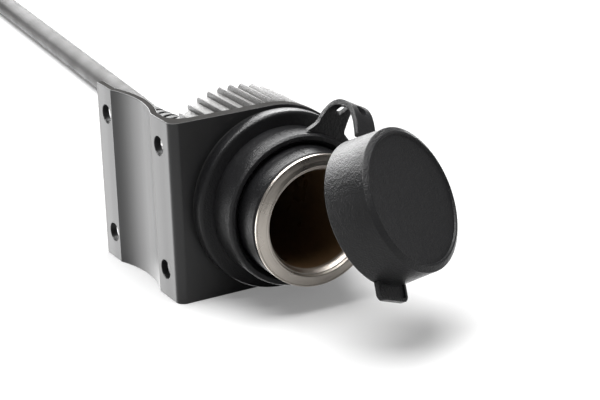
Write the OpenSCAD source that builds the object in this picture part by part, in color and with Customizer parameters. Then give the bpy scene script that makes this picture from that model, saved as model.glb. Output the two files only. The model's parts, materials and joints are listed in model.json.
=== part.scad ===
// 12 volt power socket in an angle bracket, with a hinged cap and a lead.
// The socket axis runs along Y: its mouth looks towards -Y and the lead leaves towards +Y.
// The origin lies on that axis, at the front face of the bracket's face plate.

/* [Socket well] */
// Radius of the plug well, 21.4 mm across in this kind of socket
bore_r = 10.7; // [10.5:0.05:10.9]
// Wall of the metal shell
shell_wall = 0.6; // [0.4:0.1:0.8]
// Depth of the plain well behind the face plate
well_depth = 17.6; // [15:0.5:22]
// How far the rolled rim of the shell reaches over the collar
rim_over = 0.05; // [0:0.05:0.3]
// Axial length of the rolled rim
rim_len = 1.55; // [1.4:0.05:2]

/* [Housing] */
// Wall of the round collar in front of the flange
collar_wall = 2.8; // [2.5:0.1:3]
// How far the collar stands in front of the face plate
collar_len = 17.7; // [16:0.1:19]
// How far the flange stands out from the barrel
flange_width = 5.6; // [4:0.1:5.6]
// Thickness of the flange
flange_t = 3; // [2:0.1:4]
// Wall of the threaded barrel behind the flange
barrel_wall = 2.5; // [2.3:0.1:3]
// Length of the barrel behind the shell's base, which takes the rear cover's spigot
spigot_room = 3.4; // [2.5:0.1:5]
// Thickness of the gasket under the flange
gasket_t = 1; // [0.6:0.1:1.5]

/* [Bracket] */
// Clearance between the ring nut and the side plate
side_gap = 0.1; // [0.1:0.1:4]
// How far the bracket's foot lies below the ring nut
foot_gap = 0.2; // [0.2:0.1:6]
// Depth of the side plate
side_depth = 37; // [36:0.5:45]
// Thickness of the side plate
side_t = 1.55; // [1.4:0.05:3]
// Thickness of the face plate
face_t = 2.6; // [2:0.1:4]
// Radius of the round outer corner
corner_r = 2; // [1:0.1:3]
// Radius of the hollow inner corner
inner_fillet_r = 4; // [2:0.1:4.5]
// Width of the flat strip at the rear of the side plate
rear_strip = 7.2; // [6:0.1:9]
// Distance from the face plate's front to the groove
front_strip = 9.6; // [9:0.1:11]
// Depth of the round groove between the strips
groove_depth = 1.95; // [1:0.05:3]
// Diameter of the four fixing holes
hole_d = 4.2; // [3:0.1:4.6]
// Distance of each hole from the ends of the bracket
hole_edge = 6.2; // [5:0.1:9]
// Distance of the front holes from the face plate's front
hole_front = 6.2; // [5.8:0.1:7]
// Distance of the rear holes from the rear edge
hole_rear = 4.4; // [3.5:0.1:5]

/* [Ring nut] */
// Wall of the ring nut, from its bore to the tips of its ribs
nut_wall = 5.8; // [5.2:0.1:8]
// Length of the ring nut
nut_len = 17; // [12:0.5:20]
// Number of grip ribs round the nut
nut_ribs = 46; // [30:1:60]
// Height of a grip rib
rib_h = 1.2; // [0.6:0.1:1.5]

/* [Cap] */
// Wall of the cap's skirt at its open end
cap_wall = 0.95; // [0.8:0.05:1.5]
// Depth of the cap
cap_depth = 10.2; // [9:0.1:12]
// Angle at which the cap stands open, from facing the mouth
cap_open = 39.5; // [20:0.5:60]
// Wall of the ring that holds the cap on the collar
ring_wall = 2.2; // [2:0.1:3]
// Length of that ring along the axis
ring_len = 7.5; // [6:0.1:9]
// Width of the strap where it meets the cap
strap_w = 4.8; // [4:0.1:6]
// Width of the strap where it leaves the ring
strap_root_w = 7; // [5:0.1:8]
// Thickness of the strap
strap_t = 1.15; // [0.8:0.05:1.5]
// Width of the pull tab
tab_w = 8.8; // [6:0.1:12]
// How far the pull tab stands out
tab_len = 3.1; // [2.5:0.1:5]

/* [Rear cover and lead] */
// Length of the cover behind the barrel
cover_len = 19; // [18:0.5:24]
// How far the cover is set back from the barrel's thread
cover_step = 0.7; // [0.4:0.1:1.2]
// Length of the tapered boot behind the cover
boot_len = 19; // [15:0.5:25]
// Diameter of the lead
lead_d = 6; // [5:0.1:6]
// Radius of the coil at the middle of its turns
coil_r = 33; // [30:1:36]

/* [Hidden] */
$fn = 96;
// A cutter runs this far past the face that it opens
past = 1;
// Running clearance between pieces that slide into each other
slip = 0.1;

// Radii from the well outwards
shell_r = bore_r + shell_wall;
well_r = shell_r + slip;
collar_r = well_r + collar_wall;
rim_r = collar_r + rim_over;
barrel_r = well_r + barrel_wall;
flange_r = barrel_r + flange_width;
nut_r = barrel_r + slip + nut_wall;
ring_r = collar_r + slip + ring_wall;
skirt_in = rim_r + 0.2;
cap_r = skirt_in + cap_wall;
// The bracket clears the nut at its side plate and at its foot
bracket_h = 2 * (nut_r + foot_gap);
side_x = nut_r + side_gap + side_t + groove_depth;

// Shell stations along Y, front to rear
rim_rear = -collar_len - 0.05;
rim_front = rim_rear - rim_len;
neck_step = 1.1;
neck_r = bore_r - neck_step;
neck_y = well_depth;
base_t = shell_wall;
base_y = neck_y + 2.4;
base_hole_r = 5;
// Contact stack behind the shell's base
boss_r = base_hole_r - slip;
insulator_t = 1.1;
dome_r = 4.5;
dome_h = 1.1;
rivet_r = 1.5;
ring_terminal_t = 0.5;
stack_neg = base_y + base_t;
stack_ins = stack_neg + ring_terminal_t;
outer_ins_t = 1;
stack_pos = stack_ins + outer_ins_t;
stack_tail = stack_pos + ring_terminal_t;
rivet_head = 0.8;
// Blade terminals: width, thickness and length of a tab
tab_blade_w = 4.8;
tab_blade_t = 0.8;
pos_x = 5.2;
neg_x = -7.8;
// Crimped receptacles and their sleeves
grip_y = stack_tail + rivet_head + 0.5;
grip_len = 5.6;
tab_end = grip_y + grip_len - 0.5;
grip_wall = 0.4;
grip_w = tab_blade_w + 2 * grip_wall + 0.4;
grip_t = tab_blade_t + 2 * grip_wall + 1;
crimp_r = 1.5;
crimp_len = 3;
sleeve_t = 0.5;
core_r = 1;
// Housing stations
flange_y = -gasket_t - flange_t;
seat_y = neck_y + shell_wall + slip;
barrel_len = stack_neg + spigot_room;
cover_r = barrel_r - cover_step;
// Nut, cover and boot stations
nut_front = face_t;
nut_rear = face_t + nut_len;
cover_wall = 2;
cover_end = barrel_len + cover_len;
jacket_y = cover_end - cover_wall - 1.5;
boot_end = cover_end + boot_len;
// Cap and its hinge: a is the distance in front of the face plate, b the distance from the axis
hinge_turn = 44.3;
cap_gap = 0.5;
cap_front_a = -rim_front + cap_gap;
hinge_a = 16.32;
hinge_b = 21.8;
hinge_dir = [-cos(hinge_turn), 0, sin(hinge_turn)];
hinge_pos = [hinge_b * sin(hinge_turn), -hinge_a, hinge_b * cos(hinge_turn)];
ring_front = -flange_y + ring_len;
strap_turn = 28;
// Where the strap leaves the ring, and the crest of its arch
strap_a = ring_front - 1.95;
crest_a = 15.2;
crest_b = 24.4;
tab_turn = 198.3;
// The floor under the bracket
floor_z = -bracket_h / 2;

// Every turned piece is drawn as [radius, distance along Y] and revolved round Y
module turned(profile) {
    rotate([-90, 0, 0]) rotate_extrude() polygon(profile);
}
// A plain ring or tube round the Y axis, from y0 to y1
module tube_y(outer, inner, y0, y1) {
    turned([[inner, y0], [outer, y0], [outer, y1], [inner, y1]]);
}
module disc_y(r, y0, y1) {
    translate([0, y0, 0]) rotate([-90, 0, 0]) cylinder(r = r, h = y1 - y0);
}
// Points of an arc round c, from angle a0 to a1
function arc(c, r, a0, a1, n) =
    [for (i = [0 : n]) c + r * [cos(a0 + (a1 - a0) * i / n), sin(a0 + (a1 - a0) * i / n)]];
// Points of a cubic curve with the four control points p
function cubic(p, n) = [for (i = [0 : n]) let (t = i / n, s = 1 - t)
    s * s * s * p[0] + 3 * s * s * t * p[1] + 3 * s * t * t * p[2] + t * t * t * p[3]];
function unit(v) = v / norm(v);
// Direction of the path at point i
function heading(p, i) = unit(p[min(i + 1, len(p) - 1)] - p[max(i - 1, 0)]);
// One ring of a swept tube, square to the path at point i
function ring_at(p, i, r, sides) =
    let (t = heading(p, i), side = unit(cross(t, [0, 0, 1])), up = cross(side, t))
    [for (k = [0 : sides - 1]) p[i] + r * (cos(360 * k / sides) * side + sin(360 * k / sides) * up)];
module swept_tube(path, r, sides) {
    rings = [for (i = [0 : len(path) - 1]) each ring_at(path, i, r, sides)];
    last = (len(path) - 1) * sides;
    walls = [for (i = [0 : len(path) - 2], k = [0 : sides - 1]) let (m = (k + 1) % sides)
        [i * sides + k, i * sides + m, (i + 1) * sides + m, (i + 1) * sides + k]];
    front = [for (k = [sides - 1 : -1 : 0]) k];
    rear = [for (k = [0 : sides - 1]) last + k];
    polyhedron(rings, concat(walls, [front, rear]), convexity = 10);
}

// The angle bracket: an extrusion with a grooved side plate and a face plate with a round end
groove_chord = side_depth - rear_strip - front_strip;
groove_r = (groove_chord * groove_chord / 4 + groove_depth * groove_depth) / (2 * groove_depth);
groove_mid = front_strip + groove_chord / 2;
groove_c = [-side_x - groove_r + groove_depth, groove_mid];
module bracket_section() {
    fillet = inner_fillet_r;
    difference() {
        union() {
            translate([-side_x, 0]) square([side_t, side_depth]);
            translate([-side_x, 0]) square([side_x + bracket_h / 2, face_t]);
            intersection() {
                translate(groove_c) circle(groove_r + side_t, $fn = 180);
                translate([-side_x, face_t]) square([groove_depth + side_t, side_depth - face_t]);
            }
            difference() {
                translate([-side_x, 0]) square([side_t + fillet, face_t + fillet]);
                translate([-side_x + side_t + fillet, face_t + fillet]) circle(fillet);
            }
        }
        translate(groove_c) circle(groove_r, $fn = 180);
        difference() {
            translate([-side_x - past, -past]) square(corner_r + past);
            translate([-side_x + corner_r, corner_r]) circle(corner_r);
        }
    }
}
module mounting_bracket() {
    color("dimgray") difference() {
        intersection() {
            translate([0, 0, floor_z]) linear_extrude(bracket_h) bracket_section();
            union() {
                translate([-side_x - past, -past, floor_z - past])
                    cube([side_x + past, side_depth + 2 * past, bracket_h + 2 * past]);
                disc_y(bracket_h / 2, -past, side_depth + past);
            }
        }
        disc_y(barrel_r + 2 * slip, -past, face_t + past);
        for (y = [hole_front, side_depth - hole_rear], z = [-1, 1])
            translate([-side_x - past, y, z * (bracket_h / 2 - hole_edge)])
                rotate([0, 90, 0]) cylinder(d = hole_d, h = side_t + groove_depth + 2 * past);
    }
}

// The moulded body: collar, flange and barrel, with the well that takes the shell
module socket_housing() {
    collar_c = 0.8;
    flange_c = 0.7;
    ledge_r = neck_r + shell_wall + 0.15;
    color("#1c1c1d") turned(concat(
        [[well_r, -collar_len], [collar_r - collar_c, -collar_len], [collar_r, -collar_len + collar_c],
        [collar_r, flange_y], [flange_r - flange_c, flange_y]],
        arc([flange_r - flange_c, flange_y + flange_c], flange_c, -60, 0, 3),
        [[flange_r, -gasket_t], [barrel_r, -gasket_t], [barrel_r, barrel_len - 0.8],
        [barrel_r - 0.8, barrel_len], [well_r, barrel_len], [well_r, stack_neg - slip],
        [ledge_r, stack_neg - slip], [ledge_r, seat_y], [well_r, seat_y]]));
}
module flange_gasket() {
    color("#2a2a2a") tube_y(flange_r - 0.3, barrel_r + 0.4, -gasket_t, 0);
}
// The drawn metal shell, with a folded rim that rises from its edge to a lip round the well
module metal_shell() {
    lip_r = bore_r + 1.1;
    edge_y = rim_front + 0.8;
    color("#b9b2a6") turned([
        [shell_r, neck_y + shell_wall], [shell_r, rim_rear], [rim_r - 0.15, rim_rear],
        [rim_r, rim_rear - 0.2], [rim_r, edge_y + 0.15], [rim_r - 0.15, edge_y],
        [lip_r + 0.35, rim_front + 0.08], [lip_r + 0.1, rim_front], [lip_r - 0.1, rim_front + 0.15],
        [bore_r + 0.25, rim_front + 1.3], [bore_r, rim_front + 1.7], [bore_r, neck_y],
        [neck_r, neck_y], [neck_r, base_y], [base_hole_r, base_y], [base_hole_r, stack_neg],
        [neck_r + shell_wall, stack_neg], [neck_r + shell_wall, neck_y + shell_wall]]);
}
// The ring nut that pulls the flange against the face plate
module nut_section() {
    root_r = nut_r - rib_h;
    pitch = 360 / nut_ribs;
    half_root = root_r * sin(pitch * 0.2);
    half_tip = nut_r * sin(pitch * 0.07);
    difference() {
        union() {
            circle(root_r);
            for (k = [0 : nut_ribs - 1]) rotate(k * pitch)
                polygon([[-half_root, root_r - 0.6], [half_root, root_r - 0.6],
                    [half_root, root_r * cos(pitch * 0.2)], [half_tip, nut_r * cos(pitch * 0.07)],
                    [-half_tip, nut_r * cos(pitch * 0.07)], [-half_root, root_r * cos(pitch * 0.2)]]);
        }
        circle(barrel_r + slip);
    }
}
module ring_nut() {
    edge = 0.7;
    // The front tapers so that it stays clear of the bracket's hollow corner
    front_r = side_x - side_t - inner_fillet_r - 0.2;
    color("#3a3a3c") intersection() {
        translate([0, nut_front, 0]) rotate([-90, 0, 0]) linear_extrude(nut_len) nut_section();
        turned([[barrel_r, nut_front - past], [front_r - past, nut_front - past],
            [nut_r + past, nut_front + nut_r - front_r + past],
            [nut_r + past, nut_rear - edge - past], [nut_r - edge - past, nut_rear + past],
            [barrel_r, nut_rear + past]]);
    }
}

// The soft moulding that carries the cap: ring, strap and cap
module cap_ring() {
    bevel = 0.5;
    lead_in = 1.1;
    inner = collar_r + slip;
    color("#19191a") turned([[inner, flange_y], [ring_r, flange_y], [ring_r, -ring_front + bevel],
        [ring_r - bevel, -ring_front], [inner + lead_in, -ring_front],
        [inner, -ring_front + lead_in]]);
}
// The strap rises from the ring, arches forward and comes down on the cap
strap_rise = cubic([[strap_a, ring_r + 0.03], [strap_a, crest_b - 2.9], [strap_a, crest_b],
    [crest_a, crest_b]], 10);
strap_fall = cubic([[crest_a, crest_b], [crest_a + 3.2, crest_b],
    [crest_a + 5.7, crest_b - 2.6], [crest_a + 7.8, crest_b - 4.8]], 10);
strap_path = concat(strap_rise, [for (i = [1 : 10]) strap_fall[i]]);
function strap_normal(i) = let (d = heading(strap_path, i)) [-d[1], d[0]];
module strap_section() {
    n = len(strap_path) - 1;
    polygon(concat([for (i = [0 : n]) strap_path[i] + strap_t / 2 * strap_normal(i)],
        [for (i = [n : -1 : 0]) strap_path[i] - strap_t / 2 * strap_normal(i)]));
}
// Moves things drawn in the [a, b] plane, with the width along Z, to the turn of the strap
module at_turn(turn) {
    rotate([0, turn, 0]) rotate([0, 0, -90]) rotate([90, 0, 0]) children();
}
module cap_strap() {
    slot_w = 1.8;
    slot_l = 1.4;
    color("#19191a") at_turn(strap_turn) difference() {
        intersection() {
            linear_extrude(strap_root_w, center = true) strap_section();
            rotate([-90, 0, 0]) translate([0, 0, ring_r - 2])
                linear_extrude(crest_b) polygon([[strap_a - 3, -strap_root_w / 2],
                    [strap_a + 1.4, -strap_root_w / 2], [crest_a - 0.7, -strap_w / 2],
                    [crest_a + 12, -strap_w / 2], [crest_a + 12, strap_w / 2],
                    [crest_a - 0.7, strap_w / 2], [strap_a + 1.4, strap_root_w / 2],
                    [strap_a - 3, strap_root_w / 2]]);
        }
        for (p = [[crest_a - 4.2, crest_b - 1.5, 50], [crest_a + 2.6, crest_b - 0.4, -22]])
            translate([p[0], p[1], 0]) rotate([0, 0, p[2]]) rotate([-90, 0, 0])
                linear_extrude(4, center = true) hull() for (u = [-1, 1])
                    translate([u * slot_l / 2, 0]) circle(slot_w / 2, $fn = 24);
    }
}
module on_cap() {
    translate(hinge_pos) rotate(a = cap_open, v = hinge_dir) translate(-hinge_pos)
        translate([0, -cap_front_a, 0]) rotate([90, 0, 0]) children();
}
// The cap is drawn with its open end at zero and its face up, the strap side at turn zero
module cap() {
    top_t = 1.8;
    top_r = cap_r - 0.4;
    bevel_w = 1.15;
    bevel_h = 0.75;
    inner_top = cap_depth - top_t;
    recess_r = top_r - bevel_w - 0.5;
    recess_h = 0.35;
    plug_out = bore_r - 0.2;
    plug_wall = 1.2;
    plug_h = 4;
    color("#161617") on_cap() union() {
        rotate_extrude() polygon([[skirt_in, 0.5], [skirt_in + 0.3, 0], [cap_r - 0.2, 0],
            [cap_r, 0.2], [top_r, cap_depth - bevel_h - 0.3], [top_r - 0.3, cap_depth - bevel_h + 0.05],
            [top_r - bevel_w, cap_depth], [recess_r + 0.12, cap_depth],
            [recess_r, cap_depth - recess_h], [0, cap_depth - recess_h], [0, inner_top],
            [plug_out - plug_wall, inner_top], [plug_out - plug_wall, inner_top - plug_h + 0.3],
            [plug_out - plug_wall + 0.3, inner_top - plug_h], [plug_out - 0.4, inner_top - plug_h],
            [plug_out, inner_top - plug_h + 0.6], [plug_out, inner_top], [skirt_in, inner_top],
            [skirt_in, 1.6], [skirt_in - 0.2, 1.1]]);
        rotate([0, 0, 90 - tab_turn]) translate([0, 0, 0.15]) pull_tab();
    }
}
module pull_tab() {
    tab_t = 1.4;
    round_r = 1.3;
    rim_w = 0.7;
    reach = cap_r + tab_len;
    difference() {
        linear_extrude(tab_t) difference() {
            union() {
                translate([cap_r - 1, -tab_w / 2]) square([tab_len + 1 - round_r, tab_w]);
                translate([cap_r - 1, -tab_w / 2 + round_r]) square([tab_len + 1, tab_w - 2 * round_r]);
                for (s = [-1, 1]) translate([reach - round_r, s * (tab_w / 2 - round_r)])
                    circle(round_r, $fn = 32);
            }
            circle(cap_r - 0.45);
        }
        translate([cap_r + 0.4, -tab_w / 2 + rim_w, tab_t - 0.35])
            cube([tab_len - 0.4 - rim_w, tab_w - 2 * rim_w, 1]);
    }
}

// Contacts at the bottom of the well, stacked on one rivet
module inner_insulator() {
    color("#6b4a2c") turned([[rivet_r, base_y - insulator_t], [neck_r - slip, base_y - insulator_t],
        [neck_r - slip, base_y], [boss_r, base_y], [boss_r, stack_neg], [rivet_r, stack_neg]]);
}
module centre_contact() {
    dome_y = base_y - insulator_t;
    color("#b8904a") turned(concat([[0, dome_y - dome_h], [dome_r - 1.6, dome_y - dome_h]],
        [[dome_r - 0.5, dome_y - dome_h * 0.6], [dome_r, dome_y - 0.2], [dome_r, dome_y],
        [rivet_r - slip, dome_y], [rivet_r - slip, stack_tail], [rivet_r + 1.1, stack_tail],
        [rivet_r + 0.7, stack_tail + rivet_head], [0, stack_tail + rivet_head]]));
}
module blade(x, y0) {
    bevel = 0.9;
    translate([x - tab_blade_t / 2, 0, 0]) rotate([0, 90, 0]) linear_extrude(tab_blade_t)
        polygon([[-tab_blade_w / 2, y0], [tab_blade_w / 2, y0], [tab_blade_w / 2, tab_end - bevel],
            [tab_blade_w / 2 - bevel, tab_end], [-tab_blade_w / 2 + bevel, tab_end],
            [-tab_blade_w / 2, tab_end - bevel]]);
}
module negative_terminal() {
    color("#c9b26a") union() {
        tube_y(neck_r + shell_wall + 0.5, base_hole_r + 0.2, stack_neg, stack_ins);
        blade(neg_x, stack_neg);
    }
}
module outer_insulator() {
    color("#6b4a2c") tube_y(-neg_x - tab_blade_t / 2 - 0.3, rivet_r, stack_ins, stack_pos);
}
module positive_terminal() {
    color("#c9b26a") difference() {
        union() {
            disc_y(3.4, stack_pos, stack_tail);
            translate([0, stack_pos, -tab_blade_w / 2])
                cube([pos_x + tab_blade_t / 2, ring_terminal_t, tab_blade_w]);
            blade(pos_x, stack_pos);
        }
        disc_y(rivet_r, stack_pos - past, stack_tail + past);
    }
}
// A receptacle grips the blade at x, and its crimp holds the core
module receptacle(x) {
    color("#cdbb7c") difference() {
        union() {
            translate([x - grip_t / 2, grip_y, -grip_w / 2]) cube([grip_t, grip_len, grip_w]);
            translate([x, 0, 0]) disc_y(crimp_r, grip_y + grip_len, grip_y + grip_len + crimp_len);
        }
        translate([x - tab_blade_t / 2 - slip, grip_y - past, -grip_w / 2 + grip_wall])
            cube([tab_blade_t + 2 * slip, grip_len - grip_wall + past, grip_w - 2 * grip_wall]);
        translate([x, 0, 0])
            disc_y(core_r + 0.05, grip_y + grip_len + 0.4, grip_y + grip_len + crimp_len + past);
    }
}
module positive_receptacle() { receptacle(pos_x); }
module negative_receptacle() { receptacle(neg_x); }
module sleeve(x, tint) {
    gap = 0.1;
    in_w = grip_w + 2 * gap;
    in_t = grip_t + 2 * gap;
    color(tint) difference() {
        translate([x - in_t / 2 - sleeve_t, grip_y + 0.4, -in_w / 2 - sleeve_t])
            cube([in_t + 2 * sleeve_t, grip_len + 1.4, in_w + 2 * sleeve_t]);
        translate([x - in_t / 2, grip_y - past, -in_w / 2]) cube([in_t, grip_len + past + gap, in_w]);
        translate([x, 0, 0]) disc_y(crimp_r + gap, grip_y + grip_len, grip_y + grip_len + 2 + past);
    }
}
module positive_sleeve() { sleeve(pos_x, "#b3261e"); }
module negative_sleeve() { sleeve(neg_x, "#202020"); }
// Each core leaves its crimp and bends to the end of the lead's jacket
module core(x, seat_x) {
    crimp_y = grip_y + grip_len + 0.5;
    bend_y = grip_y + grip_len + crimp_len + 0.2;
    ends = [[x, bend_y], [x, bend_y + 3.4], [seat_x, jacket_y - 3.6], [seat_x, jacket_y - 0.6]];
    bends = [for (p = cubic(ends, 9)) [p[0], p[1], 0]];
    swept_tube(concat([[x, crimp_y, 0]], bends, [[seat_x, jacket_y - 0.05, 0]]), core_r, 10);
}
module positive_core() { color("#b3261e") core(pos_x, 1.4); }
module negative_core() { color("#202020") core(neg_x, -1.4); }

// The rear cover plugs into the barrel and closes the contact space
module rear_cover() {
    spigot_r = shell_r + slip - 0.05;
    y1 = barrel_len;
    y3 = cover_end;
    inner_r = spigot_r - 0.7;
    // The cone behind the straight part, which is as long as the shoulder
    shoulder = 4;
    cone_wall = 1.1;
    tip_r = lead_d / 2 + 3.4;
    slope = (cover_r - tip_r) / (cover_len - shoulder);
    inner_cone = y1 + shoulder + (cover_r - cone_wall - inner_r) / slope;
    color("#202021") turned([[inner_r, y1 - 1.9], [spigot_r, y1 - 1.9], [spigot_r, y1], [cover_r, y1],
        [cover_r, y1 + shoulder], [tip_r + 0.6 * slope, y3 - 0.6], [tip_r - 0.4, y3],
        [lead_d / 2 + 1.2, y3], [lead_d / 2 + 1.2, y3 - cover_wall],
        [tip_r - cone_wall + cover_wall * slope, y3 - cover_wall], [inner_r, inner_cone]]);
}
// The boot is gripped by the cover's end wall and tapers along the lead
module cable_boot() {
    grip = lead_d / 2 + 0.05;
    neck = lead_d / 2 + 1.1;
    y0 = cover_end - cover_wall;
    grooves = 4;
    step = (boot_len - 5) / grooves;
    root = lead_d / 2 + 1.9;
    tip = lead_d / 2 + 0.8;
    color("#1a1a1a") turned(concat([[grip, jacket_y], [root + 0.4, jacket_y], [root + 0.4, y0],
        [neck, y0], [neck, cover_end], [root + 0.5, cover_end], [root + 0.5, cover_end + 1.6],
        [root, cover_end + 2.2]],
        [for (k = [0 : grooves - 1], p = [[1.6, 0], [1.7, -0.6], [2.6, -0.6], [2.7, 0]])
            [root + (tip - root) * (k + 0.6) / grooves + p[1], cover_end + 2.2 + k * step + p[0]]],
        [[tip, boot_end - 0.5], [tip - 0.4, boot_end], [grip, boot_end]]));
}

// The lead: straight out of the boot, down to the floor, then back past the photograph's edge
route = [[0, 39.5, 0], [0, 46, 0], [0, 54, 0], [0, 62, 0], [0.4, 67, -0.3], [1.4, 72, -1],
    [3, 77, -2.2], [5.4, 82, -3.8], [8.2, 87, -5.7], [11.2, 91, -7.9], [14.6, 95, -10.4],
    [17.6, 99, -12.7], [20.2, 104, -14.7], [22.2, 109, -16.1], [23.4, 114, -16.8], [24.2, 120, -17],
    [25, 129, -17], [26, 141, -17], [27, 153, -17], [28, 165, -17], [29, 177, -17], [30, 189, -17],
    [31, 201, -17], [32, 213, -17], [33, 225, -17], [34, 237, -17], [35, 249, -17], [36, 261, -17],
    [37, 273, -17], [38, 285, -17], [39, 297, -17]];
lead_end = route[len(route) - 1];
module lead_cable() {
    color("#2b2b2c") swept_tube(route, lead_d / 2, 10);
}
// The coil: two turns beside each other and two layers, on the tie that binds them
coil_w = 2 * lead_d;
coil_c = [lead_end[0] - lead_d / 2 - 0.2 - coil_w / 2 - coil_r, lead_end[1] - 1];
tie_t = 0.8;
coil_z = floor_z + tie_t;
coil_top = coil_z + coil_w;
module lead_coil() {
    color("#2b2b2c") translate([coil_c[0], coil_c[1], coil_z])
        rotate_extrude() translate([coil_r - coil_w / 2, 0]) square([coil_w, coil_w]);
}
tail_from = 140;
tail_to = 215;
tail_low = coil_top + lead_d / 2 + 0.05;
tail_high = tail_low + 1;
function on_coil(a, z) = [coil_c[0] + coil_r * cos(a), coil_c[1] + coil_r * sin(a), z];
module lead_tail() {
    steps = 10;
    color("#2b2b2c") swept_tube([for (i = [0 : steps])
        on_coil(tail_from + (tail_to - tail_from) * i / steps,
            tail_low + (tail_high - tail_low) * i / steps)], lead_d / 2, 10);
}
module coil_tie() {
    turn = 30;
    width = 9;
    bow = width * width / 8 / (coil_r - coil_w / 2);
    half = coil_w / 2 + 0.1 + bow;
    color("#101010") translate([coil_c[0], coil_c[1], 0]) rotate([0, 0, turn])
        translate([coil_r, width / 2, floor_z]) rotate([90, 0, 0]) linear_extrude(width)
            difference() {
                translate([-half - tie_t, 0]) square([2 * (half + tie_t), coil_w + 2 * tie_t + 0.1]);
                translate([-half, tie_t]) square([2 * half, coil_w + 0.1]);
            }
}
// The two-pole connector lies on the coil, in line with the end of the lead
module at_connector() {
    translate(on_coil(tail_to, tail_high)) rotate([0, 0, tail_to + 90]) children();
}
plug_len = 22;
neck_len = 9;
plug_h = 8;
plug_w = 15;
pole = 3.6;
pole_r = 3.4;
pin_r = 1.65;
pin_len = 9;
socket_len = 8.4;
// Where the pin and the socket of the connector are seated
pin_y = neck_len + plug_len - 8 - 3;
socket_y = neck_len + plug_len - socket_len - 0.6;
module connector_body() {
    grips = 5;
    block_len = plug_len - 8;
    cut = 0.7;
    color("#151515") at_connector() difference() {
        union() {
            translate([0.25, 0, 0]) rotate([0, 90, 0])
                cylinder(r1 = lead_d / 2 + 0.9, r2 = plug_h / 2, h = neck_len - 0.25);
            translate([neck_len, -pole, -plug_h / 2]) cube([block_len, 2 * pole, plug_h]);
            for (s = [-1, 1]) translate([neck_len, s * pole, 0]) rotate([0, 90, 0])
                cylinder(r = plug_h / 2, h = block_len);
            translate([neck_len, -pole, 0]) rotate([0, 90, 0]) cylinder(r = pole_r, h = plug_len);
        }
        translate([socket_y, -pole, 0]) rotate([0, 90, 0]) cylinder(r = pin_r + 0.45, h = plug_len);
        translate([pin_y, pole, 0]) rotate([0, 90, 0]) cylinder(r = pin_r + 0.05, h = plug_len);
        for (k = [0 : grips - 1], s = [-1, 1])
            translate([neck_len + 1.6 + 2.2 * k, -plug_w, (s * plug_h - cut) / 2])
                cube([0.9, 2 * plug_w, cut]);
    }
}
module connector_pin() {
    color("#c7a45a") at_connector() translate([pin_y, pole, 0]) rotate([0, 90, 0]) union() {
        cylinder(r = pin_r, h = pin_len);
        translate([0, 0, pin_len]) cylinder(r1 = pin_r, r2 = pin_r - 0.55, h = 1.4);
    }
}
module connector_socket() {
    color("#c7a45a") at_connector() translate([socket_y, -pole, 0]) rotate([0, 90, 0]) difference() {
        cylinder(r = pin_r + 0.4, h = socket_len);
        translate([0, 0, 1]) cylinder(r = pin_r + 0.05, h = socket_len);
    }
}

mounting_bracket();
socket_housing();
flange_gasket();
metal_shell();
ring_nut();
cap_ring();
cap_strap();
cap();
inner_insulator();
centre_contact();
negative_terminal();
outer_insulator();
positive_terminal();
positive_receptacle();
negative_receptacle();
positive_sleeve();
negative_sleeve();
positive_core();
negative_core();
rear_cover();
cable_boot();
lead_cable();
lead_coil();
lead_tail();
coil_tie();
connector_body();
connector_pin();
connector_socket();
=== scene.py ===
"""Dresses a 12 volt power socket with its bracket, cap and lead, and lights it for a photograph.

Sizes are in metres. The socket's axis is the Y axis: its mouth looks towards -Y.
"""

import json
import math

import bmesh
import bpy
from bpy.props import FloatProperty, FloatVectorProperty, IntProperty, PointerProperty
from mathutils import Matrix, Vector


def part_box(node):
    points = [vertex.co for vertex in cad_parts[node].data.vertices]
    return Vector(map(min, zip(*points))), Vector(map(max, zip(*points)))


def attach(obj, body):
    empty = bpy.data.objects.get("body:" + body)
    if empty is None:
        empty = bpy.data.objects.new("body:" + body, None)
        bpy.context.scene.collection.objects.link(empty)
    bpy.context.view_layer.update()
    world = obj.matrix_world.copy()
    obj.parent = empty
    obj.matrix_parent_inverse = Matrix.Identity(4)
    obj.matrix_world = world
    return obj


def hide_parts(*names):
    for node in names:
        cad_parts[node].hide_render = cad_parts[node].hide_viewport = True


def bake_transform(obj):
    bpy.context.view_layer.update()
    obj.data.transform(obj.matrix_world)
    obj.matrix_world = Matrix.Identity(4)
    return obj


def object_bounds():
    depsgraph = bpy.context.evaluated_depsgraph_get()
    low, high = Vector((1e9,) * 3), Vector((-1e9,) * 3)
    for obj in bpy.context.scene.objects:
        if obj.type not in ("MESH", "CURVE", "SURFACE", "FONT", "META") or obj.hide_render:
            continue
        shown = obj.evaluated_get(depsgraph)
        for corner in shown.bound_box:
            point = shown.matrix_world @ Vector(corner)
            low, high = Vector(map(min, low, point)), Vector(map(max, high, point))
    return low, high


bl_info = {
    "name": "Power socket in a bracket",
    "version": (1, 0, 0),
    "blender": (4, 5, 0),
    "location": "View3D > Sidebar > Socket",
    "description": "Builds the finished pieces of a 12 volt power socket round its packed frame",
    "category": "Object",
}

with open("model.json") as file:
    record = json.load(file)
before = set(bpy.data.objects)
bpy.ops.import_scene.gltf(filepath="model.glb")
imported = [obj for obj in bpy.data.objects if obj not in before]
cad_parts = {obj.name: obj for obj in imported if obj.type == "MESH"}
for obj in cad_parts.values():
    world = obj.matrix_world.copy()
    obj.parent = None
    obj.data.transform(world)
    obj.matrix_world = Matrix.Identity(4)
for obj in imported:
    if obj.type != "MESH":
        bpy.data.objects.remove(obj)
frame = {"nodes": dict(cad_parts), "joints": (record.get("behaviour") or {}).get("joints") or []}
frame_low, frame_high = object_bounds()

MM = 0.001
SOCKET = "socket"
LID = "lid"
HINGE = frame["joints"][0]
HINGE_POINT = Vector(HINGE["pos_m"])
HINGE_AXIS = Vector(HINGE["axis"])
OPEN_ANGLE = -HINGE["range_deg"][0]

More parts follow.
